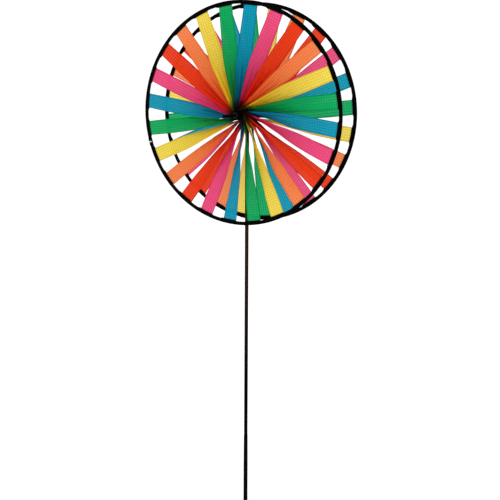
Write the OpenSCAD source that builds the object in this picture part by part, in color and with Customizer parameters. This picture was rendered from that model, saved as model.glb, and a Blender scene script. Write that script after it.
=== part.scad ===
// Twin-wheel wind spinner on a garden pole. Millimetres, +Z up.
// The origin is the centre of the pole's foot end. The axle lies along Y, and the front wheel
// is on its -Y side. Two cloth wheels spin freely on the axle, and the tee that carries the
// axle swivels on top of the pole, so the pair turns with the wind.

/* [Pole] */
// Height of the axle above the foot end
axle_z = 650; // [450:5:900]
// Diameter of the pole
pole_d = 6; // [5:0.5:6]
// Diameter of the sleeve over the pole's foot
foot_d = 7; // [6.6:0.1:9]
// Length of the sleeve's straight part, which goes into the ground
foot_straight = 65; // [40:1:120]
// Length of the sleeve's tapered upper part
foot_taper = 53; // [20:1:80]

/* [Head] */
// Diameter of the axle rod
axle_d = 3.5; // [3:0.1:4.2]
// Diameter of the tee's cross barrel
tee_barrel_d = 14; // [11:0.5:16]
// Length of the tee's cross barrel
tee_barrel_len = 20; // [16:1:24]
// Diameter of the tee's socket, which sits on the pole
tee_socket_d = 11; // [9:0.5:13]
// Depth of the tee's socket below the axle
tee_drop = 22; // [16:1:40]
// Distance from the pole to the tip of an end cap
tip_reach = 76; // [68:1:90]
// Diameter of the end caps
cap_d = 4.8; // [4.6:0.1:7]

/* [Wheels] */
// Outer diameter of each wheel
wheel_d = 340; // [300:5:420]
// Distance from the pole to each wheel's rim plane
rim_y = 29; // [26:1:36]
// Length of the cloth band wound on each hub
wrap_len = 13; // [13:0.5:16]
// Turn of the front wheel at rest, in degrees
front_phase = 8.9; // [0:0.1:15]
// Turn of the rear wheel at rest, in degrees
rear_phase = 5.4; // [0:0.1:15]

/* [Rim] */
// Diameter of the springy rod inside the rim
hoop_d = 2.5; // [2:0.1:3]
// Depth of the cloth binding, from its outer to its inner edge
binding_depth = 7; // [6:0.5:11]
// Thickness of the binding's inner edge
binding_lip = 1.2; // [0.8:0.1:2]

/* [Ribbons] */
// Number of ribbons on one wheel, in multiples of the six colours
ribbons = 24; // [12:6:24]
// Width of a ribbon along its outer half
ribbon_w = 23; // [18:0.5:26]
// Width of a ribbon where it is sewn into the rim
ribbon_rim_w = 22.5; // [16:0.5:24]
// Width of a ribbon where it is gathered and sewn to the hub
ribbon_root_w = 12; // [8:0.5:12.5]
// Angle round the hub from a ribbon's own direction to where it is sewn
root_lead = 60; // [40:1:70]
// Thickness of the ribbon cloth
ribbon_t = 0.3; // [0.2:0.05:0.4]
// How late along the ribbon its quarter turn happens (1 is an even twist)
twist_power = 1.5; // [1:0.1:2.5]

/* [Hidden] */
WHEELS = ["front", "rear"];
COLOURS = ["green", "blue", "pink", "red", "coral", "yellow"];
// Cloth colours, in the order of COLOURS
SHADES = ["#05A560", "#0A94BE", "#F0589A", "#EC4522", "#F58A58", "#E8D640"];
HARDWARE = ["end_cap", "washer", "spacer", "hub_spool", "hub_wrap", "hoop", "ferrule",
            "rim_binding"];

$fn = 72;
running = 0.05;      // radial clearance of a bore that turns
end_play = 0.3;      // gap beside a wheel's hub, along the axle
overshoot = 1;       // how far a cutter runs past the face it opens

sleeve_base = 1.5;   // floor of the foot sleeve, under the pole's end
sleeve_top_d = 6.5;  // foot sleeve's outer diameter at its upper lip
pole_top = axle_z - 4.1;
socket_roof = axle_z - 4;
cap_wall = 3;        // closed end of an end cap, beyond the axle's end

spacer_len = 2;
flange_t = 1.5;
collar_len = 12.7;

// Places along the axle, as distances from the pole
spool_in = tee_barrel_len / 2 + spacer_len + end_play;
flange_in = spool_in + 0.5;
wrap_in = flange_in + flange_t;
wrap_out = wrap_in + wrap_len;
collar_out = wrap_out + collar_len;
washer_in = collar_out + end_play;
washer_t = 1;
cap_in = washer_in + washer_t;
axle_half = tip_reach - cap_wall;

spool_d = 8;         // core of the hub spool, and its inner end
flange_d = 15;       // hub spool's flange and outer collar
wrap_d = 13;         // cloth wound on the spool, which the ribbons are sewn to
washer_d = 10;
spacer_d = 10;

ferrule_d = 3.5;     // tube that joins the hoop's two ends
ferrule_arc = 10;    // degrees of the hoop that the ferrule covers
hoop_gap = 0.4;      // degrees between the hoop's two ends
binding_wall = 0.55; // cloth round the hoop
hoop_r = wheel_d / 2 - binding_wall - ferrule_d / 2;
binding_in = wheel_d / 2 - binding_depth;

ribbon_out = binding_in - 0.1;
root_r = wrap_d / 2 + 0.2;
ribbon_steps = 13;
root_y = (wrap_in + wrap_out) / 2;

// -1 for the front wheel, +1 for the rear one
function side(wheel) = wheel == "front" ? -1 : 1;

// ---- helpers -------------------------------------------------------------------------------

// A round bar along the axle, from y0 to y1 outward from the pole on one side
module bar(side, y0, y1, d) {
    translate([0, side > 0 ? y0 : -y1, axle_z])
        rotate([-90, 0, 0])
            cylinder(h = y1 - y0, d = d);
}

// A ring in a wheel's plane, swept over an arc that is centred on the ring's lowest point
module ring(side, arc) {
    translate([0, side * rim_y, axle_z])
        rotate([-90, 0, 0])
            rotate([0, 0, 90 - arc / 2])
                rotate_extrude(angle = arc, $fn = 160)
                    children();
}

// Turns its children upside down about the axle
module half_turn_about_axle() {
    translate([0, 0, axle_z])
        rotate([0, 180, 0])
            translate([0, 0, -axle_z])
                children();
}

// ---- pole ----------------------------------------------------------------------------------

module pole() {
    color("#15130F")
        translate([0, 0, sleeve_base])
            cylinder(h = pole_top - sleeve_base, d = pole_d);
}

module foot_sleeve() {
    color("#0C0C0C")
        difference() {
            union() {
                cylinder(h = foot_straight, d = foot_d);
                translate([0, 0, foot_straight])
                    cylinder(h = foot_taper, d1 = foot_d, d2 = sleeve_top_d);
            }
            translate([0, 0, sleeve_base])
                cylinder(h = foot_straight + foot_taper, d = pole_d);
        }
}

// ---- head ----------------------------------------------------------------------------------

// Moulded tee: a cross barrel that grips the axle, and a blind socket that turns on the pole
module tee_connector() {
    color("#101010")
        difference() {
            union() {
                bar(1, -tee_barrel_len / 2, tee_barrel_len / 2, tee_barrel_d);
                translate([0, 0, axle_z - tee_drop])
                    cylinder(h = tee_drop, d = tee_socket_d);
            }
            bar(1, -tee_barrel_len, tee_barrel_len, axle_d);
            translate([0, 0, axle_z - tee_drop - overshoot])
                cylinder(h = socket_roof - axle_z + tee_drop + overshoot,
                         d = pole_d + 2 * running);
        }
}

module axle_rod() {
    color("#1A1A1A")
        bar(1, -axle_half, axle_half, axle_d);
}

// Vinyl cap pushed over the end of the axle
module end_cap(side) {
    color("#0E0E0E")
        difference() {
            bar(side, cap_in, tip_reach, cap_d);
            bar(side, cap_in - overshoot, axle_half, axle_d);
        }
}

// Thin washer between the end cap and the hub
module washer(side) {
    color("#202020")
        difference() {
            bar(side, washer_in, cap_in, washer_d);
            bar(side, washer_in - overshoot, cap_in + overshoot, axle_d);
        }
}

// Short bead between the tee and the hub
module spacer(side) {
    color("#202020")
        difference() {
            bar(side, tee_barrel_len / 2, spool_in - end_play, spacer_d);
            bar(side, tee_barrel_len / 2 - overshoot, spool_in + overshoot, axle_d);
        }
}

// ---- wheel hardware ------------------------------------------------------------------------

// Plastic spool that the wheel turns on: a bored core with a flange and a thick outer collar
module hub_spool(side) {
    color("#121212")
        difference() {
            union() {
                bar(side, spool_in, collar_out, spool_d);
                bar(side, flange_in, wrap_in, flange_d);
                bar(side, wrap_out, collar_out, flange_d);
            }
            bar(side, spool_in - overshoot, collar_out + overshoot, axle_d + 2 * running);
        }
}

// Cloth band wound on the spool between its flange and its collar
module hub_wrap(side) {
    color("#181818")
        difference() {
            bar(side, wrap_in, wrap_out, wrap_d);
            bar(side, wrap_in - overshoot, wrap_out + overshoot, spool_d);
        }
}

// Springy rod bent into a ring. Its two ends meet at the wheel's lowest point at rest.
module hoop(side) {
    color("#2A2A2A")
        half_turn_about_axle()
            ring(side, 360 - hoop_gap)
                translate([hoop_r, 0])
                    circle(d = hoop_d, $fn = 32);
}

// Small metal tube that holds the hoop's two ends together
module ferrule(side) {
    color("#8A8A88")
        ring(side, ferrule_arc)
            translate([hoop_r, 0])
                difference() {
                    circle(d = ferrule_d, $fn = 32);
                    circle(d = hoop_d, $fn = 32);
                }
}

// Cloth folded round the hoop and sewn flat on its inner side, where the ribbons are caught
module rim_binding(side) {
    round_r = ferrule_d / 2 + binding_wall;
    color("#0B0B0B")
        translate([0, side * rim_y, axle_z])
            rotate([-90, 0, 0])
                rotate_extrude($fn = 160)
                    difference() {
                        union() {
                            translate([hoop_r, 0])
                                circle(r = round_r, $fn = 32);
                            polygon([
                                [binding_in, -binding_lip / 2],
                                [hoop_r, -round_r * 0.9],
                                [hoop_r, round_r * 0.9],
                                [binding_in, binding_lip / 2],
                            ]);
                        }
                        translate([hoop_r, 0])
                            circle(d = ferrule_d, $fn = 32);
                    }
}

// ---- ribbons -------------------------------------------------------------------------------

// s runs from 0 at the rim to 1 at the hub
function ribbon_twist(s) = 90 * pow(s, twist_power);
function ribbon_width(s) = lookup(s, [[0, ribbon_rim_w], [0.25, ribbon_w], [0.5, ribbon_w],
                                      [1, ribbon_root_w]]);

// A point in a wheel, at a radius, an angle and a distance from the pole
function in_wheel(side, r, angle, y) =
    [r * cos(angle), side * y, axle_z + r * sin(angle)];

// The four corners of a ribbon's section at s, for a ribbon that points at an angle. It is
// sewn to the hub to one side of that direction, so it leaves the hub's surface at a slant.
function ribbon_section(angle, side, s) =
    let (rim = in_wheel(side, ribbon_out, angle, rim_y))
    let (root = in_wheel(side, root_r, angle - side * root_lead, root_y))
    let (length_in_plane = norm([rim.x - root.x, rim.z - root.z]))
    let (outward = [rim.x - root.x, 0, rim.z - root.z] / length_in_plane)
    let (tangent = [-outward.z, 0, outward.x])
    let (across = cos(ribbon_twist(s)) * tangent - sin(ribbon_twist(s)) * [0, 1, 0])
    let (face = cross(-outward, across))
    let (centre = rim + (root - rim) * s)
    let (half_w = across * ribbon_width(s) / 2)
    let (half_t = face * ribbon_t / 2)
    [centre - half_w - half_t, centre + half_w - half_t,
     centre + half_w + half_t, centre - half_w + half_t];

// A straight strip, flat in the wheel's plane at the rim and edge-on to it at the hub
module ribbon(angle, side) {
    points = [for (i = [0 : ribbon_steps]) each ribbon_section(angle, side, i / ribbon_steps)];
    last = 4 * ribbon_steps;
    sides = [for (i = [0 : ribbon_steps - 1]) for (j = [0 : 3])
        let (a = 4 * i + j)
        let (b = 4 * i + (j + 1) % 4)
        each [[a, a + 4, b + 4], [a, b + 4, b]]];
    ends = [[0, 1, 2], [0, 2, 3], [last + 3, last + 2, last + 1], [last + 3, last + 1, last]];
    polyhedron(points = points, faces = concat(sides, ends));
}

// Every ribbon of one colour on one wheel. Seen from the front, the colours follow each other
// clockwise on the front wheel and anticlockwise on the rear one, which is the same wheel
// turned round.
module ribbon_group(wheel, k) {
    pitch = 360 / ribbons;
    phase = wheel == "front" ? front_phase : rear_phase;
    color(SHADES[k])
        for (i = [k : len(COLOURS) : ribbons - 1])
            ribbon(phase + side(wheel) * i * pitch, side(wheel));
}

module hardware(name, side) {
    if (name == "end_cap") end_cap(side);
    if (name == "washer") washer(side);
    if (name == "spacer") spacer(side);
    if (name == "hub_spool") hub_spool(side);
    if (name == "hub_wrap") hub_wrap(side);
    if (name == "hoop") hoop(side);
    if (name == "ferrule") ferrule(side);
    if (name == "rim_binding") rim_binding(side);
}

// ---- nodes ---------------------------------------------------------------------------------

pole();
foot_sleeve();
tee_connector();
axle_rod();
for (w = WHEELS) for (h = HARDWARE)
    hardware(h, side(w));
for (w = WHEELS) for (k = [0 : len(COLOURS) - 1])
    ribbon_group(w, k);
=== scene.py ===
"""Looks of a twin-wheel wind spinner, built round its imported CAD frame. Metres, +Z up.

Each wheel lies in a plane across the axle, which runs along Y. A place in a wheel is given by
its radius and its angle from +X towards +Z, and by its distance from the pole along the axle.
"""
import cmath
import math
import random

import bmesh
import bpy
import numpy as np
from mathutils import Matrix, Vector


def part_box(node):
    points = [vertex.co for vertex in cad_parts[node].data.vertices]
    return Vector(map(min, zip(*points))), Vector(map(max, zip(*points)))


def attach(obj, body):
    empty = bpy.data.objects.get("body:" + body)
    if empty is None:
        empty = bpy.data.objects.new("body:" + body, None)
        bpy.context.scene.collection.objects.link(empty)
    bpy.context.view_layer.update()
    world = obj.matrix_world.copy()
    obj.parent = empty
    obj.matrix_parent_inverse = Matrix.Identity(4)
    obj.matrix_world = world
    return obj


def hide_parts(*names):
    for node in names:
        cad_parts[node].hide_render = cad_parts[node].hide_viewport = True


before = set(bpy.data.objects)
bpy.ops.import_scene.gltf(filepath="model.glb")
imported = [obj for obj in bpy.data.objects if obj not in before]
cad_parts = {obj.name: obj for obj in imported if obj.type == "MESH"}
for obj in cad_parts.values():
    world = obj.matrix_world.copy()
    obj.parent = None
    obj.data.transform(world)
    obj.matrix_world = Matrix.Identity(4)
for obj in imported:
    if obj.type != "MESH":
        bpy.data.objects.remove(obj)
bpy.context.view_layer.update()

MM = 0.001
TAU = 2 * math.pi
SIDES = {"front": -1, "rear": 1}
COLOURS = ["green", "blue", "pink", "red", "coral", "yellow"]
RIBBONS = 24


# ---- what the frame says -------------------------------------------------------------------

def middle(node):
    low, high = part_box(node)
    return (low + high) / 2


def radius(node):
    """Half of a node's height, which is the radius of what is round about the axle."""
    low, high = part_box(node)
    return (high.z - low.z) / 2


def reach(node):
    """How far from the pole a node starts and ends along the axle."""
    low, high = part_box(node)
    return min(abs(low.y), abs(high.y)), max(abs(low.y), abs(high.y))


def ribbon_phase(wheel):
    """The angle of a wheel's first green ribbon, read from the four that its CAD node holds."""
    points = [v.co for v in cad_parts[f"{wheel}_ribbons_green"].data.vertices]
    places = [complex(p.x, p.z - AXLE_Z) for p in points]
    furthest = max(abs(p) for p in places)
    turned = sum(p**4 for p in places if abs(p) > 0.99 * furthest)
    return math.atan2(turned.imag, turned.real) / 4


AXLE_Z = middle("axle_rod").z
AXLE_R = radius("axle_rod")
AXLE_END = reach("axle_rod")[1]
POLE_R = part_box("pole")[1].x
POLE_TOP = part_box("pole")[1].z


# ---- camera --------------------------------------------------------------------------------

CAMERA_AZIMUTH = math.radians(27.43)
CAMERA_ELEVATION = math.radians(11.81)
CAMERA_ROLL = math.radians(0.33)
# From the middle of the axle, in the camera's own axes
CAMERA_RIGHT = 0.00412
CAMERA_UP = -0.21081
CAMERA_BACK = 1.3778
LENS = 63.87


def make_camera():
    a, e = CAMERA_AZIMUTH, CAMERA_ELEVATION
    back = Vector((math.sin(a) * math.cos(e), -math.cos(a) * math.cos(e), math.sin(e)))
    level = Vector((math.cos(a), math.sin(a), 0))
    upright = back.cross(level)
    right = level * math.cos(CAMERA_ROLL) + upright * math.sin(CAMERA_ROLL)
    up = back.cross(right)
    data = bpy.data.cameras.new("camera")
    data.lens = LENS
    data.clip_end = 200
    camera = bpy.data.objects.new("camera", data)
    bpy.context.scene.collection.objects.link(camera)
    offset = right * CAMERA_RIGHT + up * CAMERA_UP + back * CAMERA_BACK
    matrix = Matrix((right, up, back)).transposed().to_4x4()
    matrix.translation = Vector((0, 0, AXLE_Z)) + offset
    camera.matrix_world = matrix
    bpy.context.scene.camera = camera


# ---- light and floor -----------------------------------------------------------------------

WORLD_LIGHT = 1.12
FLOOR_HALF = 40


def make_light(name, place, target, size, watts):
    data = bpy.data.lights.new(name, "AREA")
    data.size = size
    data.energy = watts
    light = bpy.data.objects.new(name, data)
    bpy.context.scene.collection.objects.link(light)
    light.location = place
    light.rotation_euler = (Vector(target) - Vector(place)).to_track_quat("-Z", "Y").to_euler()


def make_studio():
    world = bpy.data.worlds.new("studio")
    world.use_nodes = True
    world.node_tree.nodes["Background"].inputs["Color"].default_value = (1, 1, 1, 1)
    world.node_tree.nodes["Background"].inputs["Strength"].default_value = WORLD_LIGHT
    scene = bpy.context.scene
    scene.world = world
    scene.view_settings.view_transform = "Standard"
    scene.view_settings.look = "None"
    wheels = (0, 0, AXLE_Z)
    make_light("key", (-1.3, -2.2, 1.9), wheels, 1.8, 22)
    make_light("fill", (1.6, 2.0, 1.7), wheels, 2.0, 18)

    corners = [(x * FLOOR_HALF, y * FLOOR_HALF, 0) for x, y in ((-1, -1), (1, -1), (1, 1), (-1, 1))]
    floor = mesh_object("floor", corners, [(0, 1, 2, 3)], pale_floor())


# ---- mesh helpers --------------------------------------------------------------------------

def mesh_object(name, points, faces, material, uv=None, smooth=True):
    """A mesh object. uv gives each point's place on the flat cloth, in metres."""
    mesh = bpy.data.meshes.new(name)
    mesh.from_pydata([tuple(p) for p in points], [], faces)
    mesh.polygons.foreach_set("use_smooth", [smooth] * len(mesh.polygons))
    if uv is not None:
        layer = mesh.uv_layers.new(name="cloth")
        corners = np.zeros(len(mesh.loops), int)
        mesh.loops.foreach_get("vertex_index", corners)
        layer.data.foreach_set("uv", np.asarray(uv, float)[corners].ravel())
    mesh.materials.append(material)
    made = bpy.data.objects.new(name, mesh)
    bpy.context.scene.collection.objects.link(made)
    return made


def grid_faces(rows, columns, rows_close=False, columns_close=False):
    """Four-sided faces over a grid of points, row by row, whose ends may close on its starts."""
    faces = []
    for i in range(rows if rows_close else rows - 1):
        for j in range(columns if columns_close else columns - 1):
            a, b = i * columns, (i + 1) % rows * columns
            k = (j + 1) % columns
            faces.append((a + j, b + j, b + k, a + k))
    return faces


def tidy(made, merge=1e-7):
    """Merges points that meet and turns every face outward."""
    work = bmesh.new()
    work.from_mesh(made.data)
    bmesh.ops.remove_doubles(work, verts=work.verts, dist=merge)
    bmesh.ops.dissolve_degenerate(work, edges=work.edges, dist=merge)
    bmesh.ops.recalc_face_normals(work, faces=work.faces)
    work.to_mesh(made.data)
    work.free()
    return made


def settle(made, body, slot, *nodes):
    """Puts a finished piece on its body, in the place of its CAD nodes."""
    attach(made, body)
    if nodes:
        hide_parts(*nodes)
    return made


def rounded(profile, steps=4):
    """A closed outline with its corners filleted. Each corner is (along, radius, fillet)."""
    out = []
    count = len(profile)
    for i, (along, r, fillet) in enumerate(profile):
        here = np.array([along, r])
        before = np.array(profile[i - 1][:2]) - here
        after = np.array(profile[(i + 1) % count][:2]) - here
        reach_of = min(np.linalg.norm(before), np.linalg.norm(after)) * 0.49
        cut = min(fillet, reach_of)
        if cut < 1e-6:
            out.append(tuple(here))
            continue
        start = here + before / np.linalg.norm(before) * cut
        end = here + after / np.linalg.norm(after) * cut
        for k in range(steps + 1):
            t = k / steps
            out.append(tuple((1 - t)**2 * start + 2 * t * (1 - t) * here + t**2 * end))
    return out


def lathe(name, profile, place, material, turns=64):
    """Turns a closed outline of (along, radius) about an axis. place makes a point of
    (along, radius, angle)."""
    points = [place(along, r, TAU * i / turns) for i in range(turns) for along, r in profile]
    faces = grid_faces(turns, len(profile), rows_close=True, columns_close=True)
    return tidy(mesh_object(name, points, faces, material))


def about_axle(side):
    def place(along, r, angle):
        return (r * math.cos(angle), side * along, AXLE_Z + r * math.sin(angle))
    return place


def about_pole(along, r, angle):
    return (r * math.cos(angle), r * math.sin(angle), along)


def tube_points(path, thickness, sides=6):
    """Rings of points round a path, for a thread. thickness is its diameter."""
    path = np.array(path, float)
    ahead = np.gradient(path, axis=0)
    ahead /= np.linalg.norm(ahead, axis=1)[:, None]
    aside = np.cross(ahead, (0, 1, 0.02))
    aside /= np.linalg.norm(aside, axis=1)[:, None]
    other = np.cross(ahead, aside)
    angles = TAU * np.arange(sides) / sides
    return (path[:, None, :] + thickness / 2 * (
        np.cos(angles)[None, :, None] * aside[:, None, :]
        + np.sin(angles)[None, :, None] * other[:, None, :])).reshape(-1, 3)


def thread_object(name, paths, thickness, material, sides=6):
    """One mesh of several threads, each a tube along its path with closed ends."""
    points, faces = [], []
    for path in paths:
        rings = len(path)
        start = len(points)
        points.extend(tube_points(path, thickness, sides).tolist())
        faces.extend(tuple(start + k for k in f)
                     for f in grid_faces(rings, sides, columns_close=True))
        last = start + (rings - 1) * sides
        faces.append(tuple(start + k for k in range(sides)))
        faces.append(tuple(last + k for k in reversed(range(sides))))
    made = mesh_object(name, points, faces, material)
    return tidy(made)


# ---- material helpers ----------------------------------------------------------------------

def new_material(name):
    material = bpy.data.materials.new(name)
    material.use_nodes = True
    material.node_tree.nodes.clear()
    return material, material.node_tree


def add(tree, kind, inputs=None, **settings):
    """Adds a shader node. An input is a socket to link, or a value."""
    node = tree.nodes.new("ShaderNode" + kind)
    for key, value in settings.items():
        setattr(node, key, value)
    for key, value in (inputs or {}).items():
        if isinstance(value, bpy.types.NodeSocket):
            tree.links.new(value, node.inputs[key])
        else:
            node.inputs[key].default_value = value
    return node


def maths(tree, operation, *values):
    node = add(tree, "Math", dict(enumerate(values)), operation=operation)
    return node.outputs[0]


def ramp(tree, value, low, high, to_low, to_high):
    """value's step from low to high, smoothed, as a number from to_low to to_high."""
    node = add(tree, "MapRange", {"Value": value, "From Min": low, "From Max": high,
                                  "To Min": to_low, "To Max": to_high},
               interpolation_type="SMOOTHSTEP")
    return node.outputs["Result"]


def tint(tree, factor, first, second):
    """A colour between two, by factor."""
    def four(c):
        return c if isinstance(c, bpy.types.NodeSocket) else (*c, 1)
    node = add(tree, "Mix", {0: factor, 6: four(first), 7: four(second)}, data_type="RGBA")
    return node.outputs[2]


def noise(tree, vector, scale, detail=3):
    node = add(tree, "TexNoise", {"Vector": vector, "Scale": scale, "Detail": detail})
    return node.outputs["Fac"]


def object_place(tree, stretch=(1, 1, 1)):
    """A point's place on the object, in metres, scaled along each axis."""
    node = add(tree, "Mapping", {"Vector": add(tree, "TexCoord").outputs["Object"],
                                 "Scale": stretch})
    return node.outputs["Vector"]


def bumped(tree, height, distance, strength=1.0):
    node = add(tree, "Bump", {"Height": height, "Distance": distance, "Strength": strength})
    return node.outputs["Normal"]


def finish_surface(tree, shader):
    add(tree, "OutputMaterial", {"Surface": shader})


def shade(colour, factor):
    return tuple(c * factor for c in colour)


def wave(tree, value, pitch):
    """A sine of value with that pitch, from -1 to 1."""
    return maths(tree, "SINE", maths(tree, "MULTIPLY", value, TAU / pitch))


# ---- materials -----------------------------------------------------------------------------

BLACK_IOR = 1.2           # low, so that black pieces stay black at their grazing edges
GRID_PITCH = 3.9 * MM     # reinforcing threads of the ripstop cloth
GRID_WIDTH = 0.30         # share of the pitch that a reinforcing thread takes
THREAD_PITCH = 0.55 * MM  # plain weave between the reinforcing threads
LET_THROUGH = 0.46        # share of the light that the cloth passes on, scattered
OPEN_WEAVE = 0.02         # share that passes straight through between the threads

# Colour of the cloth by the light that falls on it, and by the light that comes through it
CLOTH = {
    "green": ((0.000, 0.330, 0.075), (0.010, 0.480, 0.180)),
    "blue": ((0.000, 0.240, 0.395), (0.005, 0.410, 0.540)),
    "pink": ((0.780, 0.050, 0.185), (0.820, 0.120, 0.280)),
    "red": ((0.755, 0.032, 0.004), (0.780, 0.070, 0.014)),
    "coral": ((0.845, 0.190, 0.045), (0.870, 0.310, 0.125)),
    "yellow": ((0.820, 0.630, 0.030), (0.880, 0.730, 0.200)),
}


# Distances along the cloth, from the end held in the rim, between which painted shade first deepens
# its colour
# and then darkens it to black: the shade that falls where the ribbons crowd into more and more
# layers at the hub
SHADE_DEEPENS = (70 * MM, 142 * MM)
SHADE_BLACKENS = (136 * MM, 154 * MM)


def painted_shade_colour(colour, power=1.5):
    """Painted shade: the colour of light that has met a cloth of this colour several times, put into
    the cloth's own colour.
    """
    return tuple(c**power for c in colour)


def reinforcing(tree, along):
    """1 on the thicker threads that cross the ribbon every GRID_PITCH, and 0 between them."""
    cell = maths(tree, "FRACT", maths(tree, "DIVIDE", along, GRID_PITCH))
    from_middle = maths(tree, "ABSOLUTE", maths(tree, "SUBTRACT", cell, 0.5))
    return ramp(tree, from_middle, 0.5 - GRID_WIDTH * 0.75, 0.5 - GRID_WIDTH * 0.35, 0, 1)


def ripstop(name, lit, backlit):
    """Thin nylon that scatters light back and through, with a grid of thicker threads."""
    material, tree = new_material(name)
    cloth = add(tree, "SeparateXYZ", {0: add(tree, "UVMap", uv_map="cloth").outputs[0]})
    across, along = cloth.outputs[0], cloth.outputs[1]
    grid = maths(tree, "MAXIMUM", reinforcing(tree, across), reinforcing(tree, along))
    weave = maths(tree, "MULTIPLY", wave(tree, across, THREAD_PITCH),
                  wave(tree, along, THREAD_PITCH))
    mottle = noise(tree, object_place(tree), 60)
    uneven = ramp(tree, mottle, 0.3, 0.7, 0, 0.35)
    body = tint(tree, uneven, lit, shade(lit, 0.86))
    colour = tint(tree, maths(tree, "MULTIPLY", grid, 0.35), body, shade(lit, 0.66))
    through = tint(tree, maths(tree, "MULTIPLY", grid, 0.6), backlit, shade(lit, 0.55))
    # Painted shade: towards the hub the colours deepen and then go black, for the shade among the
    # crowded ribbons there.
    painted_deep_shade = ramp(tree, along, *SHADE_DEEPENS, 0, 0.85)
    painted_black_shade = ramp(tree, along, *SHADE_BLACKENS, 0, 0.9)
    colour = tint(tree, painted_black_shade, tint(tree, painted_deep_shade, colour, painted_shade_colour(lit)), (0, 0, 0))
    through = tint(tree, painted_black_shade, tint(tree, painted_deep_shade, through, painted_shade_colour(lit)), (0, 0, 0))
    height = maths(tree, "ADD", maths(tree, "MULTIPLY", weave, 0.25), grid)
    normal = bumped(tree, height, 0.12 * MM, 0.6)
    front = add(tree, "BsdfPrincipled", {
        "Base Color": colour, "Roughness": 0.55, "Specular IOR Level": 0.08,
        "Normal": normal})
    behind = add(tree, "BsdfTranslucent", {"Color": through, "Normal": normal})
    sheet = add(tree, "MixShader", {0: LET_THROUGH, 1: front.outputs[0], 2: behind.outputs[0]})
    gaps = add(tree, "BsdfTransparent")
    open_share = ramp(tree, grid, 0, 1, OPEN_WEAVE, 0)
    whole = add(tree, "MixShader", {0: open_share, 1: sheet.outputs[0], 2: gaps.outputs[0]})
    finish_surface(tree, whole.outputs[0])
    return material


def binding_cloth():
    """Black woven tape: a twill of fine diagonal ribs, dulled by use in specks and along its ribs.
    """
    material, tree = new_material("black_binding_cloth")
    cloth = add(tree, "SeparateXYZ", {0: add(tree, "UVMap", uv_map="cloth").outputs[0]})
    across, along = cloth.outputs[0], cloth.outputs[1]
    rib = wave(tree, maths(tree, "ADD", across, along), 0.9 * MM)
    yarn = wave(tree, along, 0.45 * MM)
    height = maths(tree, "ADD", rib, maths(tree, "MULTIPLY", yarn, 0.4))
    lint = noise(tree, object_place(tree), 700, 4)
    dust = maths(tree, "ADD", ramp(tree, lint, 0.45, 0.75, 0, 0.5), ramp(tree, rib, -1, 1, 0, 0.4))
    colour = tint(tree, dust, (0.001, 0.001, 0.0012), (0.005, 0.0046, 0.0046))
    surface = add(tree, "BsdfPrincipled", {
        "Base Color": colour, "Roughness": 0.9, "IOR": BLACK_IOR, "Specular IOR Level": 0.02,
        "Normal": bumped(tree, height, 0.12 * MM, 0.8)})
    finish_surface(tree, surface.outputs[0])
    return material


def moulded(name, dark, pale, roughness, gloss, grain):
    """Moulded or dipped plastic with a fine grain. roughness is its lowest and highest."""
    material, tree = new_material(name)
    place = object_place(tree)
    fine = noise(tree, place, grain, 5)
    broad = noise(tree, place, grain / 12, 3)
    colour = tint(tree, ramp(tree, broad, 0.35, 0.7, 0, 1), dark, pale)
    surface = add(tree, "BsdfPrincipled", {
        "Base Color": colour, "Roughness": ramp(tree, fine, 0.3, 0.7, *roughness),
        "IOR": BLACK_IOR, "Specular IOR Level": gloss, "Normal": bumped(tree, fine, 0.05 * MM, 0.5)})
    finish_surface(tree, surface.outputs[0])
    return material


def drawn_rod(name, dark, pale, roughness, gloss, metallic=0.0, stretch=(900, 900, 9)):
    """A rod with fine streaks along its length, from being drawn or pultruded."""
    material, tree = new_material(name)
    streaks = noise(tree, object_place(tree, stretch), 1.0, 4)
    colour = tint(tree, ramp(tree, streaks, 0.35, 0.7, 0, 1), dark, pale)
    surface = add(tree, "BsdfPrincipled", {
        "Base Color": colour, "Roughness": ramp(tree, streaks, 0.3, 0.7, *roughness),
        "Metallic": metallic, "Specular IOR Level": gloss,
        "Normal": bumped(tree, streaks, 0.03 * MM, 0.5)})
    finish_surface(tree, surface.outputs[0])
    return material


REFLECTION_FROM, REFLECTION_TO = 0.20, 0.44   # heights between which a painted brown reflection grows on the black pole


def pole_coating():
    """Black coating on a straight rod, with streaks along it, and a painted brown reflection that
    grows towards the top.
    """
    material, tree = new_material("pole_rod")
    height = add(tree, "SeparateXYZ", {0: object_place(tree)}).outputs[2]
    streaks = noise(tree, object_place(tree, (900, 900, 9)), 1.0, 4)
    # Painted reflection: the pole's colour turns brown towards the top.
    painted_reflection = ramp(tree, height, REFLECTION_FROM, REFLECTION_TO, 0, 1)
    reflected_brown = tint(tree, ramp(tree, streaks, 0.35, 0.7, 0, 1),
                 (0.015, 0.007, 0.005), (0.026, 0.012, 0.009))
    surface = add(tree, "BsdfPrincipled", {
        "Base Color": tint(tree, painted_reflection, (0.0006, 0.0005, 0.0005), reflected_brown),
        "Roughness": ramp(tree, streaks, 0.3, 0.7, 0.3, 0.45),
        "IOR": BLACK_IOR, "Specular IOR Level": 0.06,
        "Normal": bumped(tree, streaks, 0.03 * MM, 0.5)})
    finish_surface(tree, surface.outputs[0])
    return material


def sewing_thread(name, dark, pale):
    material, tree = new_material(name)
    ply = noise(tree, object_place(tree), 2500, 2)
    colour = tint(tree, ramp(tree, ply, 0.35, 0.65, 0, 1), dark, pale)
    surface = add(tree, "BsdfPrincipled", {
        "Base Color": colour, "Roughness": 0.7, "Specular IOR Level": 0.12,
        "Normal": bumped(tree, ply, 0.05 * MM)})
    finish_surface(tree, surface.outputs[0])
    return material


def pale_floor():
    material, tree = new_material("studio_floor")
    soft = noise(tree, object_place(tree), 0.6, 2)
    colour = tint(tree, soft, (0.95, 0.95, 0.95), (0.97, 0.97, 0.97))
    surface = add(tree, "BsdfPrincipled", {
        "Base Color": colour, "Roughness": 0.9, "Specular IOR Level": 0.1})
    finish_surface(tree, surface.outputs[0])
    return material


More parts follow.
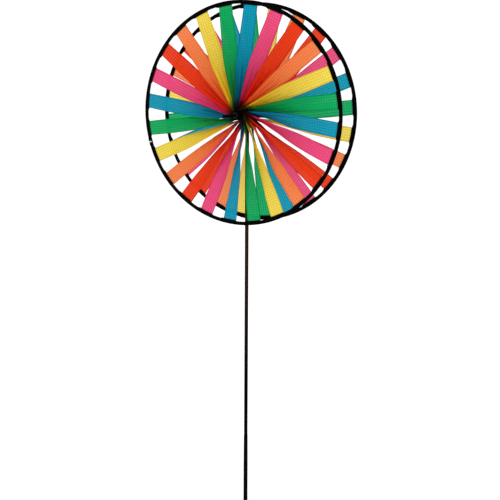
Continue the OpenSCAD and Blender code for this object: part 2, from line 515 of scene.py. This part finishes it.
RIPSTOP = {c: ripstop(f"ripstop_{c}", *CLOTH[c]) for c in COLOURS}
BINDING = binding_cloth()
PLASTIC = moulded("black_plastic", (0.0006, 0.0006, 0.0008), (0.0016, 0.0016, 0.0016),
                  (0.45, 0.62), 0.015, 2200)
VINYL = moulded("black_vinyl", (0.0015, 0.0015, 0.0015), (0.0035, 0.003, 0.003),
                (0.4, 0.6), 0.03, 1400)
NYLON = moulded("black_nylon", (0.006, 0.006, 0.006), (0.010, 0.010, 0.010),
                (0.35, 0.5), 0.15, 1800)
BLACK_THREAD = sewing_thread("black_thread", (0.003, 0.003, 0.003), (0.012, 0.012, 0.012))
WHITE_THREAD = sewing_thread("white_thread", (0.75, 0.74, 0.72), (0.9, 0.9, 0.88))


# ---- kept CAD nodes ------------------------------------------------------------------------

def finish_kept_nodes():
    pole = pole_coating()
    axle = drawn_rod("axle_rod", (0.004, 0.004, 0.004), (0.009, 0.009, 0.009), (0.4, 0.5), 0.1,
                     stretch=(900, 12, 900))
    hoop = drawn_rod("hoop_rod", (0.02, 0.02, 0.02), (0.05, 0.05, 0.05), (0.35, 0.5), 0.4,
                     stretch=(300, 300, 300))
    metal = drawn_rod("ferrule_metal", (0.45, 0.45, 0.44), (0.62, 0.62, 0.6), (0.3, 0.45), 0.5,
                      metallic=1.0, stretch=(400, 400, 400))
    finishes = {"pole": pole, "axle_rod": axle}
    for wheel in SIDES:
        finishes[f"{wheel}_hoop"] = hoop
        finishes[f"{wheel}_ferrule"] = metal
    for node, material in finishes.items():
        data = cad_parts[node].data
        data.materials.clear()
        data.materials.append(material)
        data.polygons.foreach_set("use_smooth", [False] * len(data.polygons))


# ---- pole foot and head --------------------------------------------------------------------

FOOT_STRAIGHT = 65 * MM
TEE_SOCKET_R = 5.5 * MM
TEE_VOXEL = 0.42 * MM     # how finely the tee's two tubes are run into each other


def make_foot_sleeve():
    """Dipped vinyl sleeve: a blunt round end, a straight stretch and a long taper to a lip."""
    low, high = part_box("foot_sleeve")
    outer, top = high.x, high.z
    lip = POLE_R + 0.25 * MM
    floor = 1.5 * MM
    outline = rounded([
        (low.z, 0, 0),
        (low.z, outer, 1.6 * MM),
        (FOOT_STRAIGHT, outer, 4 * MM),
        (top - 1.2 * MM, lip, 0.3 * MM),
        (top, lip, 0.2 * MM),
        (top, POLE_R, 0),
        (floor, POLE_R, 0),
        (floor, 0, 0)], steps=6)
    made = lathe("pole_foot_sleeve", outline, about_pole, VINYL, 48)
    settle(made, "pole", "black_vinyl", "foot_sleeve")


def cylinder_between(work, start, end, r, sides=64):
    """Adds a closed cylinder to a bmesh, for joining or cutting."""
    start, end = Vector(start), Vector(end)
    turn = (end - start).to_track_quat("Z", "Y").to_matrix().to_4x4()
    turn.translation = (start + end) / 2
    bmesh.ops.create_cone(work, cap_ends=True, segments=sides, radius1=r, radius2=r,
                          depth=(end - start).length, matrix=turn)


def applied(made):
    """Bakes a piece's modifiers into its mesh."""
    graph = bpy.context.evaluated_depsgraph_get()
    mesh = bpy.data.meshes.new_from_object(made.evaluated_get(graph))
    made.modifiers.clear()
    made.data = mesh
    return made


def make_tee():
    """Moulded tee: its barrel and socket run into each other through a soft fillet, with a
    bead at each mouth."""
    low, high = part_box("tee_connector")
    barrel_r = high.z - AXLE_Z
    half = high.y
    bead = 0.35 * MM
    bead_long = 2.2 * MM
    barrel = rounded([
        (-half, 0, 0), (-half, barrel_r, 0.5 * MM), (-half + bead_long, barrel_r, 0.4 * MM),
        (-half + bead_long, barrel_r - bead, 0.3 * MM),
        (half - bead_long, barrel_r - bead, 0.3 * MM),
        (half - bead_long, barrel_r, 0.4 * MM), (half, barrel_r, 0.5 * MM), (half, 0, 0)])
    socket = rounded([
        (low.z, 0, 0), (low.z, TEE_SOCKET_R, 0.5 * MM),
        (low.z + bead_long, TEE_SOCKET_R, 0.4 * MM),
        (low.z + bead_long, TEE_SOCKET_R - bead, 0.3 * MM), (AXLE_Z, TEE_SOCKET_R - bead, 0),
        (AXLE_Z, 0, 0)])
    made = lathe("head_tee", barrel, about_axle(1), PLASTIC, 96)
    other = lathe("head_tee_socket", socket, about_pole, PLASTIC, 96)
    work = bmesh.new()
    work.from_mesh(made.data)
    work.from_mesh(other.data)
    work.to_mesh(made.data)
    work.free()
    bpy.data.objects.remove(other)
    blend = made.modifiers.new("blend", "REMESH")
    blend.mode = "VOXEL"
    blend.voxel_size = TEE_VOXEL
    soften = made.modifiers.new("soften", "SMOOTH")
    soften.factor = 0.5
    soften.iterations = 5
    applied(made)

    cutter = mesh_object("tee_bores", [], [], PLASTIC)
    work = bmesh.new()
    cylinder_between(work, (0, -2 * half, AXLE_Z), (0, 2 * half, AXLE_Z), AXLE_R)
    work.to_mesh(cutter.data)
    work.free()
    cutter_socket = mesh_object("tee_socket_bore", [], [], PLASTIC)
    work = bmesh.new()
    cylinder_between(work, (0, 0, low.z - 5 * MM), (0, 0, POLE_TOP + 0.1 * MM),
                     POLE_R + 0.05 * MM)
    work.to_mesh(cutter_socket.data)
    work.free()
    for bore in (cutter, cutter_socket):
        cut = made.modifiers.new("bore", "BOOLEAN")
        cut.operation = "DIFFERENCE"
        cut.solver = "EXACT"
        cut.object = bore
    applied(made)
    for bore in (cutter, cutter_socket):
        bpy.data.objects.remove(bore)
    made.data.materials.clear()
    made.data.materials.append(PLASTIC)
    made.data.polygons.foreach_set("use_smooth", [True] * len(made.data.polygons))
    made.name = "head_tee"
    settle(made, "head", "black_plastic", "tee_connector")


def make_axle_hardware(wheel):
    """Rounded cap, washer and spacer bead on one end of the axle."""
    side = SIDES[wheel]
    place = about_axle(side)
    start, tip = reach(f"{wheel}_end_cap")
    r = radius(f"{wheel}_end_cap")
    groove = 0.25 * MM
    cap = rounded([
        (start, AXLE_R, 0), (start, r, 0.25 * MM), (start + 2 * MM, r, 0.2 * MM),
        (start + 2.2 * MM, r - groove, 0.2 * MM), (start + 3 * MM, r - groove, 0.2 * MM),
        (start + 3.4 * MM, r, 0.4 * MM), (tip, r, 1.7 * MM), (tip, 0, 0),
        (AXLE_END, 0, 0), (AXLE_END, AXLE_R, 0)], steps=6)
    made = lathe(f"{wheel}_axle_cap", cap, place, VINYL, 40)
    settle(made, "head", "black_vinyl", f"{wheel}_end_cap")

    start, end = reach(f"{wheel}_washer")
    r = radius(f"{wheel}_washer")
    washer = rounded([(start, AXLE_R, 0.15 * MM), (start, r, 0.3 * MM),
                      (end, r, 0.3 * MM), (end, AXLE_R, 0.15 * MM)])
    made = lathe(f"{wheel}_axle_washer", washer, place, NYLON, 48)
    settle(made, "head", "black_nylon", f"{wheel}_washer")

    start, end = reach(f"{wheel}_spacer")
    r = radius(f"{wheel}_spacer")
    waist = (start + end) / 2
    bead = rounded([(start, AXLE_R, 0.15 * MM), (start, r - 0.6 * MM, 0.4 * MM),
                    (waist, r, 1.2 * MM), (end, r - 0.6 * MM, 0.4 * MM),
                    (end, AXLE_R, 0.15 * MM)])
    made = lathe(f"{wheel}_axle_spacer", bead, place, NYLON, 48)
    settle(made, "head", "black_nylon", f"{wheel}_spacer")


# ---- hub -----------------------------------------------------------------------------------

FLANGE_THICK = 1.5 * MM
SPOOL_CORE = 4 * MM
SPOOL_BORE = AXLE_R + 0.05 * MM


def make_hub_spool(wheel):
    """Moulded spool: a core, a thin flange, and a grooved collar with a dished outer face."""
    start, end = reach(f"{wheel}_hub_spool")
    wound, wound_end = reach(f"{wheel}_hub_wrap")
    r = radius(f"{wheel}_hub_spool")
    core = SPOOL_CORE
    edge = 0.4 * MM
    outline = [(start, SPOOL_BORE, 0.2 * MM), (start, core, edge),
               (wound - FLANGE_THICK, core, edge), (wound - FLANGE_THICK, r, 0.6 * MM),
               (wound, r, 0.6 * MM), (wound, core, 0), (wound_end, core, 0),
               (wound_end, r, 0.5 * MM)]
    grooves = 3
    pitch = (end - wound_end) / (grooves + 1)
    for k in range(grooves):
        at = wound_end + pitch * (k + 0.75)
        outline += [(at, r, 0.15 * MM), (at + 0.25 * MM, r - 0.35 * MM, 0.15 * MM),
                    (at + 0.55 * MM, r - 0.35 * MM, 0.15 * MM), (at + 0.8 * MM, r, 0.15 * MM)]
    outline += [(end - 0.4 * MM, r, 0.5 * MM), (end - 0.4 * MM, r - 1.2 * MM, 0.3 * MM),
                (end - 1.0 * MM, r - 1.5 * MM, 0.3 * MM), (end - 1.0 * MM, core, 0.3 * MM),
                (end, core - 0.4 * MM, 0.3 * MM), (end, SPOOL_BORE, 0.2 * MM)]
    made = lathe(f"{wheel}_spool", rounded(outline), about_axle(SIDES[wheel]), PLASTIC, 72)
    settle(made, f"{wheel}_wheel", "black_plastic", f"{wheel}_hub_spool")


WOUND_TURNS = 5
TAPE_THICK = 0.4 * MM


def make_hub_band(wheel):
    """Black tape wound on the spool in a spiral of several turns."""
    side = SIDES[wheel]
    start, end = reach(f"{wheel}_hub_wrap")
    clear = 0.1 * MM
    inner, outer = SPOOL_CORE + clear, radius(f"{wheel}_hub_wrap") - clear
    around, columns = 56, 9
    margin = 0.15 * MM
    points, uv = [], []
    rows = WOUND_TURNS * around + 1
    travelled = 0.0
    for i in range(rows):
        t = i / (rows - 1)
        angle = TAU * WOUND_TURNS * t
        r = inner + (outer - inner) * t
        travelled += TAU * r / around
        for j in range(columns):
            y = start + margin + (end - start - 2 * margin) * j / (columns - 1)
            points.append((r * math.cos(angle), side * y, AXLE_Z + r * math.sin(angle)))
            uv.append((y - start, travelled))
    band = mesh_object(f"{wheel}_hub_band", points, grid_faces(rows, columns), BINDING, uv)
    settle(band, f"{wheel}_wheel", "black_binding_cloth", f"{wheel}_hub_wrap")


# Where a ribbon's sewn tail lies round the hub: angle past where it lands, in radians, and
# radius over the band, in millimetres
TAIL = [(0.000, 1.00), (0.050, 0.80), (0.120, 0.61), (0.210, 0.45), (0.310, 0.30),
        (0.400, 0.17)]
ROOT_LEAD = math.radians(60)   # round the hub from a ribbon's own direction to where it lands
ROOT_MARGIN = 6.6 * MM         # from each end of the wound band to the middle of its stitching


def make_root_stitching(wheel):
    """Turns of thread that bind the ribbons' tails to the hub near both edges."""
    side = SIDES[wheel]
    start, end = reach(f"{wheel}_hub_wrap")
    thread = 0.5 * MM
    base = radius(f"{wheel}_hub_wrap") + 1.0 * MM
    turns, around = 3, 96
    paths = []
    for middle_y in (start + ROOT_MARGIN, end - ROOT_MARGIN):
        path = []
        for i in range(turns * around + 1):
            angle = TAU * i / around
            y = middle_y + thread * 1.15 * (i / around - turns / 2)
            r = base + 0.12 * MM * math.cos(RIBBONS * (angle - ribbon_phase(wheel)))
            path.append((r * math.cos(angle), side * y, AXLE_Z + r * math.sin(angle)))
        paths.append(path)
    made = thread_object(f"{wheel}_root_stitching", paths, thread, BLACK_THREAD)
    settle(made, f"{wheel}_wheel", "black_binding_cloth")


# ---- rim -----------------------------------------------------------------------------------

LIP_HALF = 0.6 * MM       # half of the tape's thickness at its sewn inner edge
LIP_IN_GAP = 3.4 * MM     # depth of the sewn edge from the hoop's centre, between ribbons
RIM_STEPS = 360
ARC_STEPS = 12


class Rim:
    """The shape of one wheel's folded tape, which is deeper where it holds a ribbon."""

    def __init__(self, wheel):
        self.side = SIDES[wheel]
        self.y = sum(reach(f"{wheel}_rim_binding")) / 2
        self.outer = radius(f"{wheel}_rim_binding")
        self.fold = (reach(f"{wheel}_rim_binding")[1] - reach(f"{wheel}_rim_binding")[0]) / 2
        self.hoop = self.outer - self.fold
        self.lip = self.hoop - ribbon_end(wheel)
        self.phase = ribbon_phase(wheel)
        rng = random.Random(11 if self.side < 0 else 12)
        self.waves = [(rng.choice((2, 3, 5, 7, 11, 13)), rng.uniform(0, TAU),
                       rng.uniform(0.4, 1.0)) for _ in range(6)]

    def uneven(self, angle, shift=0.0):
        """A slow change round the rim, about -1 to 1."""
        return sum(a * math.sin(n * angle + p + shift) for n, p, a in self.waves) / 3

    def depth(self, angle):
        """How far the sewn edge lies inside the hoop's centre: deeper where a ribbon is held."""
        pitch = TAU / RIBBONS
        off = abs((angle - self.phase + pitch / 2) % pitch - pitch / 2)
        held = RIBBON_RIM_HALF / self.hoop
        t = min(1, max(0, (off - held) / (pitch / 2 - held) * 2.6))
        gap = t * t * (3 - 2 * t)
        full = self.lip + 0.35 * MM * self.uneven(angle)
        return full + (LIP_IN_GAP + 0.15 * MM * self.uneven(angle, 2) - full) * gap

    def lean(self, angle):
        """How far the sewn edge leans out of the wheel's plane."""
        return 0.35 * MM * self.uneven(angle, 4)

    def section(self, angle, grow=0.0):
        """Points of the folded tape's section, as (radius, offset along the axle): the outer
        surface from lip to lip, then the inner surface back."""
        depth, lean = self.depth(angle), self.lean(angle)
        out = []
        for shrink, direction in ((0.0, 1), (TAPE_THICK, -1)):
            r, h = self.fold + grow - shrink, LIP_HALF + grow - shrink
            far = math.hypot(depth, h)
            bend = math.pi - math.atan2(h, depth) - math.acos(min(1, r / far))
            arc = [bend - 2 * bend * k / ARC_STEPS for k in range(ARC_STEPS + 1)]
            ring = [(self.hoop + r * math.cos(b), r * math.sin(b)) for b in arc]
            first, last = (self.hoop - depth, h + lean), (self.hoop - depth, -h + lean)
            mid_first = tuple((a + b) / 2 for a, b in zip(first, ring[0]))
            mid_last = tuple((a + b) / 2 for a, b in zip(last, ring[-1]))
            line = [first, mid_first, *ring, mid_last, last]
            out += line[::direction]
        return out

    def point(self, angle, r, offset):
        y = self.side * self.y + offset
        return (r * math.cos(angle), y, AXLE_Z + r * math.sin(angle))

    def flank(self, angle, r):
        """Half-thickness of the tape at a radius inside the hoop."""
        depth = self.depth(angle)
        share = min(1, max(0, (self.hoop - r) / depth))
        far = math.hypot(depth, LIP_HALF)
        bend = math.pi - math.atan2(LIP_HALF, depth) - math.acos(min(1, self.fold / far))
        top_r, top_h = -self.fold * math.cos(bend), self.fold * math.sin(bend)
        if share * depth > top_r:
            t = (share * depth - top_r) / max(1e-9, depth - top_r)
            return top_h + (LIP_HALF - top_h) * t
        return math.sqrt(max(0, self.fold**2 - (share * depth)**2))


def ribbon_end(wheel):
    """The radius where a wheel's CAD ribbons meet the tape, midway between one end's corners."""
    points = [v.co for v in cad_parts[f"{wheel}_ribbons_green"].data.vertices]
    turn = cmath.exp(-1j * ribbon_phase(wheel))
    places = [complex(p.x, p.z - AXLE_Z) * turn for p in points]
    corners = [max(p.real for p in places if 0.9 < edge * p.imag / RIBBON_RIM_HALF < 1.1)
               for edge in (-1, 1)]
    return sum(corners) / 2


def section_lengths(section):
    """Distance along the cloth at each point of a folded section, the same on both surfaces."""
    half = len(section) // 2
    outer = [0.0]
    for a, b in zip(section[:half], section[1:half]):
        outer.append(outer[-1] + math.dist(a, b))
    return outer + outer[::-1]


def make_rim_tape(wheel):
    """Cloth tape folded round the hoop, its inner edge drawn in by each ribbon it holds."""
    rim = Rim(wheel)
    points, uv = [], []
    for i in range(RIM_STEPS):
        angle = TAU * i / RIM_STEPS
        section = rim.section(angle)
        points += [rim.point(angle, r, y) for r, y in section]
        uv += [(u, angle * rim.hoop) for u in section_lengths(section)]
    columns = len(points) // RIM_STEPS
    faces = grid_faces(RIM_STEPS, columns, rows_close=True, columns_close=True)
    tape = tidy(mesh_object(f"{wheel}_rim_tape", points, faces, BINDING, uv))
    settle(tape, f"{wheel}_wheel", "black_binding_cloth", f"{wheel}_rim_binding")
    width = max(section_lengths(rim.section(rim.phase)))
    make_overlap(wheel, rim)
    make_rim_stitching(wheel, rim)


SEAM_ANGLE = {"front": math.radians(196.4), "rear": math.radians(263)}
SEAM_LENGTH = 12 * MM


def make_overlap(wheel, rim):
    """Where the tape's end laps over its start, held by a bar tack."""
    steps = 8
    angle = SEAM_ANGLE[wheel]
    half = SEAM_LENGTH / 2 / rim.hoop
    points, uv = [], []
    for i in range(steps + 1):
        here = angle - half + 2 * half * i / steps
        section = rim.section(here, grow=TAPE_THICK * 1.05)
        count = len(section)
        points += [rim.point(here, r, y) for r, y in section]
        uv += [(u, (here - angle) * rim.hoop) for u in section_lengths(section)]
    faces = grid_faces(steps + 1, count, columns_close=True)
    pairs = count // 2
    for base, flip in ((0, 1), (steps * count, -1)):
        for j in range(pairs - 1):
            quad = (base + j, base + j + 1, base + count - 2 - j, base + count - 1 - j)
            faces.append(quad[::flip])
    lap = tidy(mesh_object(f"{wheel}_rim_tape_lap", points, faces, BINDING, uv))
    settle(lap, f"{wheel}_wheel", "black_binding_cloth")
    width = max(section_lengths(rim.section(angle)))

    make_bar_tack(wheel, rim)


def make_bar_tack(wheel, rim):
    """Thread worked to and fro over the lap, round the outside of the fold."""
    angle = SEAM_ANGLE[wheel]
    tack = WHITE_THREAD if wheel == "front" else BLACK_THREAD
    thread = 0.45 * MM
    half_width = 1.3 * MM
    starts, spans = math.radians(155), math.radians(125)
    passes = 9
    path = []
    for k in range(passes * 4 + 1):
        t = k / (passes * 4)
        swing = math.asin(math.sin(TAU * passes / 2 * t)) / (math.pi / 2)
        here = angle + swing * half_width / rim.hoop
        bend = starts - spans * t
        r = rim.hoop + (rim.fold + TAPE_THICK + thread * 0.45) * math.cos(bend)
        h = (rim.fold + TAPE_THICK + thread * 0.45) * math.sin(bend)
        path.append(rim.point(here, r, rim.side * h))
    made = thread_object(f"{wheel}_bar_tack", [path], thread, tack)
    settle(made, f"{wheel}_wheel", "black_binding_cloth")


STITCH = 3.4 * MM
STITCH_THREAD = 0.38 * MM
STITCH_INSET = 0.9 * MM   # from the tape's sewn edge


def make_rim_stitching(wheel, rim):
    """Lockstitches just inside the tape's sewn edge, on both of its faces."""
    count = round(TAU * rim.hoop / STITCH)
    paths = []
    for face in (-1, 1):
        for i in range(count):
            path = []
            for t in (-1, -0.7, 0, 0.7, 1):
                angle = TAU * (i + 0.36 * t) / count
                r = rim.hoop - rim.depth(angle) + STITCH_INSET
                share = min(1, STITCH_INSET / rim.depth(angle))
                sunk = 0.3 * MM * (abs(t) > 0.9)
                lift = rim.flank(angle, r) + STITCH_THREAD * 0.25 - sunk
                offset = face * lift + rim.lean(angle) * (1 - share)
                path.append(rim.point(angle, r, offset))
            paths.append(path)
    made = thread_object(f"{wheel}_rim_stitching", paths, STITCH_THREAD, BLACK_THREAD, 5)
    settle(made, f"{wheel}_wheel", "black_binding_cloth")


# ---- ribbons -------------------------------------------------------------------------------

RIBBON_RIM_HALF = 11.25 * MM
CLOTH_WIDTH = 23 * MM     # between the hems' folds
# (share of the way to the hub, width in millimetres)
WIDTHS = [(0.0, 22.5), (0.25, 23.0), (0.5, 23.0), (1.0, 12.0)]
TWIST_POWER = 1.5
HEM = 1.4 * MM            # cloth turned back along each edge
HEM_LIFT = 0.2 * MM
TUCK = 2.4 * MM           # length held inside the tape
ROWS = 46
PLEATS = 3                # folds across a ribbon where it is gathered

# Ribbons spaced by eye drift round the rim: by how much, and at what angle the most
DRIFT = {"front": (math.radians(0.9), math.radians(280)),
         "rear": (math.radians(1.3), math.radians(250))}


def ribbon_width(s):
    places, widths = zip(*WIDTHS)
    return float(np.interp(s, places, widths)) * MM


def hemmed_section(width, columns=25):
    """(across, lift, distance along the cloth) from one turned hem to the other."""
    half, turn = width / 2, 0.2 * MM
    edge = [(-half + HEM, HEM_LIFT), (-half + turn, HEM_LIFT), (-half, HEM_LIFT / 2)]
    inner = [(u, 0.0) for u in np.linspace(-half + turn, half - turn, columns)]
    line = edge + inner + [(-u, h) for u, h in reversed(edge)]
    along = [0.0]
    for a, b in zip(line, line[1:]):
        along.append(along[-1] + math.dist(a, b))
    return [(u, h, v) for (u, h), v in zip(line, along)]


def pleat_depth(width, s):
    """Height of the folds that take up the cloth's width, pressed down where it is sewn."""
    spare = max(0.0, CLOTH_WIDTH / width - 1.03)
    pressed = min(1, max(0.0, (s - 0.9) / 0.1))
    return width / PLEATS / math.pi * math.sqrt(spare) * (1 - 0.88 * pressed)


class Ribbon:
    """The line, the turn and the looseness of one ribbon, each a little unlike the next."""

    def __init__(self, wheel, index, rng):
        side = SIDES[wheel]
        self.way = -side
        self.base = ribbon_phase(wheel) + side * index * TAU / RIBBONS
        most, where = DRIFT[wheel]
        self.skew = most * math.cos(self.base - where) + math.radians(rng.gauss(0, 0.25))
        self.late = TWIST_POWER + rng.uniform(-0.25, 0.35)
        self.cup = rng.uniform(-0.9, 0.9) * MM
        self.belly = rng.uniform(-0.8, 0.8) * MM
        self.ripples = [
            (rng.uniform(0.6, 1.4), rng.uniform(0, TAU), rng.uniform(0.3, 0.9) * MM),
            (rng.uniform(1.8, 3.2), rng.uniform(0, TAU), rng.uniform(0.15, 0.45) * MM)]
        self.pucker, self.pleat = rng.uniform(0, TAU), rng.uniform(0, TAU)
        self.wider = rng.uniform(-0.8, 0.5) * MM
        self.band_r = radius(f"{wheel}_hub_wrap")
        rim_y = sum(reach(f"{wheel}_rim_binding")) / 2
        root_y = sum(reach(f"{wheel}_hub_wrap")) / 2 + rng.uniform(-2.2, 2.2) * MM
        self.axle = np.array([0, 1.0, 0])
        self.root_shift = self.axle * side * root_y
        self.rim_point = (self.radial(self.base + self.skew) * ribbon_end(wheel)
                          + self.axle * side * rim_y)
        self.hub_point = self.landing(*TAIL[0])

    def radial(self, angle):
        return np.array([math.cos(angle), 0, math.sin(angle)])

    def tangent(self, angle):
        return np.array([-math.sin(angle), 0, math.cos(angle)])

    def landing(self, turn, lift):
        """A place on the sewn tail, wound on round the hub."""
        angle = self.base + self.way * (ROOT_LEAD + turn)
        return self.radial(angle) * (self.band_r + lift * MM) + self.root_shift

    def spine(self):
        """(centre, direction across, share of the way to the hub) from the tape to the tail."""
        run = self.rim_point - self.hub_point
        outward = run / np.linalg.norm(run)
        heading = math.atan2(run[2], run[0])
        at_rim = self.base + self.skew
        at_rim += TAU * round((heading - at_rim) / TAU)
        rows = [(self.rim_point + outward * TUCK * k / 2, self.tangent(at_rim), 0.0)
                for k in (2, 1)]
        for k in range(ROWS):
            s = k / (ROWS - 1)
            phi = math.pi / 2 * s**self.late
            angle = heading + (at_rim - heading) * max(0, 1 - 8 * s)
            across = math.cos(phi) * self.tangent(angle) - math.sin(phi) * self.axle
            rows.append((self.rim_point - run * s, across, s))
        rows += [(self.landing(*place), -self.axle, 1.0) for place in TAIL[1:]]
        return rows

    def bulge(self, s, v, q):
        """How far the loose cloth stands off its spine's plane. q runs from -1 to 1 across."""
        edge_wave = sum(a * math.sin(TAU * n * s + p) for n, p, a in self.ripples)
        frill = 0.13 * MM * q**4 * math.sin(TAU * v / (8.5 * MM) + self.pucker + q)
        free = math.sin(math.pi * s)**0.8 * min(1, 1.6 * (1 - s)) if 0 < s < 1 else 0
        return free * (self.cup * (q * q - 0.33) + self.belly + edge_wave * q + frill)


def make_ribbon(wheel, index, rng):
    """A strip with hemmed edges: flat in the rim's plane where the tape holds it, then turned a
    quarter and drawn into pleats on its way to the hub, where its tail is sewn down."""
    colour = COLOURS[index % len(COLOURS)]
    ribbon = Ribbon(wheel, index, rng)
    centres, acrosses, shares = zip(*ribbon.spine())
    centres, acrosses = np.array(centres), np.array(acrosses)
    normals = np.cross(np.gradient(centres, axis=0), acrosses)
    normals /= np.linalg.norm(normals, axis=1)[:, None]
    travelled = np.concatenate([[0], np.cumsum(np.linalg.norm(np.diff(centres, axis=0), axis=1))])
    section = hemmed_section(CLOTH_WIDTH)

    points, uv = [], []
    for centre, across, normal, s, v in zip(centres, acrosses, normals, shares, travelled):
        width = ribbon_width(s) + ribbon.wider * math.sin(math.pi * s)
        depth = pleat_depth(width, s)
        near_rim = math.exp(-max(0.0, v - TUCK) / (9 * MM)) if s < 0.999 else 0
        inside = min(1, max(0.0, v - TUCK) / (3 * MM))
        for u, lift, w in section:
            q = 2 * u / CLOTH_WIDTH
            folds = depth * math.sin(math.pi * PLEATS * q + ribbon.pleat)
            gather = 0.3 * MM * near_rim * math.sin(TAU * u / (5.2 * MM) + ribbon.pleat)
            offset = ribbon.bulge(s, v, q) + folds + gather * inside + lift - HEM_LIFT / 2
            p = centre + across * q * width / 2 + normal * offset
            points.append((p[0], p[1], AXLE_Z + p[2]))
            uv.append((w, v))
    faces = grid_faces(len(centres), len(section))
    name = f"{wheel}_ribbon_{index + 1:02d}_{colour}"
    made = mesh_object(name, points, faces, RIPSTOP[colour], uv)
    settle(made, f"{wheel}_wheel", f"ripstop_{colour}", f"{wheel}_ribbons_{colour}")


def make_wheel(wheel):
    make_hub_spool(wheel)
    make_hub_band(wheel)
    make_root_stitching(wheel)
    make_rim_tape(wheel)
    rng = random.Random(101 if wheel == "front" else 202)
    for index in range(RIBBONS):
        make_ribbon(wheel, index, rng)


make_camera()
make_studio()
finish_kept_nodes()
make_foot_sleeve()
make_tee()
for wheel in SIDES:
    make_axle_hardware(wheel)
    make_wheel(wheel)
